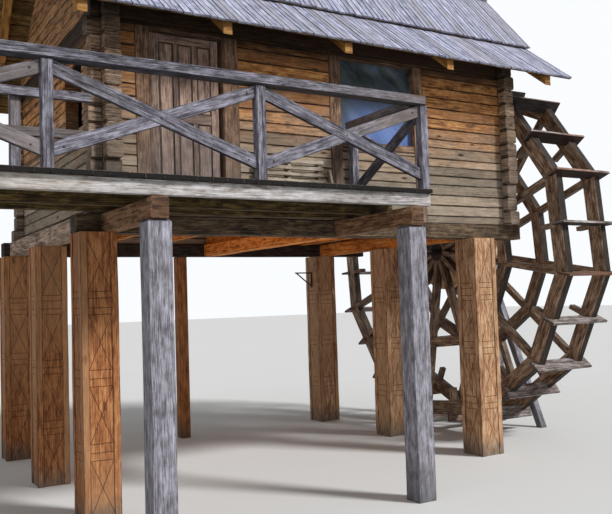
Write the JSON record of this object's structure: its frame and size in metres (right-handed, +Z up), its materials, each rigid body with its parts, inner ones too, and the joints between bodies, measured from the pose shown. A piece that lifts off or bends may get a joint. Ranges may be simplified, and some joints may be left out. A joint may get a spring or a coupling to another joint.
{
  "type": "watermill",
  "caption": "Timber watermill on tall piers with a plank roof, a front gallery and a spoked wooden waterwheel at its side.",
  "frame": {"origin": "middle of the footprint at the lowest point of the legs", "axes": "+X along the front wall towards the wheel, +Y from the gallery into the house, +Z up"},
  "size_m": [10.663, 6.4345, 8.2162],
  "materials": {
    "weathered_grey": "weathered grey sawn timber, rough",
    "fascia_grey": "bleached pale timber, rough",
    "pier_boards": "orange-brown boards, worn",
    "warm_wall": "orange-brown logs bleached lower down",
    "dark_timber": "dark brown timber",
    "roof_planks": "silver-grey planks",
    "floor_orange": "orange-brown boards",
    "wheel_wood": "dark wet wheel timber",
    "iron": "black iron",
    "door_wood": "brown door boards",
    "sheet_plastic": "thin translucent blue-green sheeting"
  },
  "bodies": {
    "house": {"back_post": "dark_timber", "back_rafters": "floor_orange", "back_roof_lower": "roof_planks", "back_roof_upper": "roof_planks", "back_wall": "warm_wall", "corner_log_ends": "warm_wall", "cross_sills": "dark_timber", "door_head": "warm_wall", "door_posts": "warm_wall", "door_threshold": "warm_wall", "floor_boards": "floor_orange", "floor_girders": "floor_orange", "floor_joists": "floor_orange", "front_rafters": "floor_orange", "front_roof_lower": "roof_planks", "front_roof_upper": "roof_planks", "front_wall_left": "warm_wall", "front_wall_middle": "warm_wall", "front_wall_right": "warm_wall", "front_wall_top": "warm_wall", "front_wall_under_window": "warm_wall", "gallery_cross_beams": "weathered_grey", "gallery_deck": "weathered_grey", "gallery_fascia": "fascia_grey", "gallery_ledgers": "weathered_grey", "gallery_posts": "weathered_grey", "inner_bearing": "iron", "iron_bracket": "iron", "leaning_stick": "weathered_grey", "left_brace_panel": "weathered_grey", "left_gable": "warm_wall", "left_piers": "pier_boards", "left_wall": "warm_wall", "middle_brace_panel": "weathered_grey", "outer_post_braces": "wheel_wood", "outer_wheel_post": "wheel_wood", "rail_posts": "weathered_grey", "rear_railing": "weathered_grey", "return_railing": "weathered_grey", "ridge_cap": "roof_planks", "right_brace_panel": "weathered_grey", "right_gable": "warm_wall", "right_piers": "pier_boards", "right_wall": "warm_wall", "slat_rack": "weathered_grey", "top_rail": "weathered_grey", "window_frame": "warm_wall", "window_sheet": "sheet_plastic"},
    "wheel": {"near_wheel_ring": "wheel_wood", "far_wheel_ring": "wheel_wood", "wheel_hubs": "wheel_wood", "wheel_floats": "wheel_wood", "wheel_shaft": "iron"},
    "door": {"door_leaf": "door_wood"}
  },
  "joints": [
    {"name": "wheel_turn", "type": "hinge", "parent": "house", "child": "wheel", "pos_m": [3.9765, 0.344, 2.93], "axis": [1, 0, 0], "continuous": true},
    {"name": "door_swing", "type": "hinge", "parent": "house", "child": "door", "pos_m": [-1.7605, -1.616, 3.43], "axis": [0, 0, 1], "range_deg": [0, 90]}
  ]
}
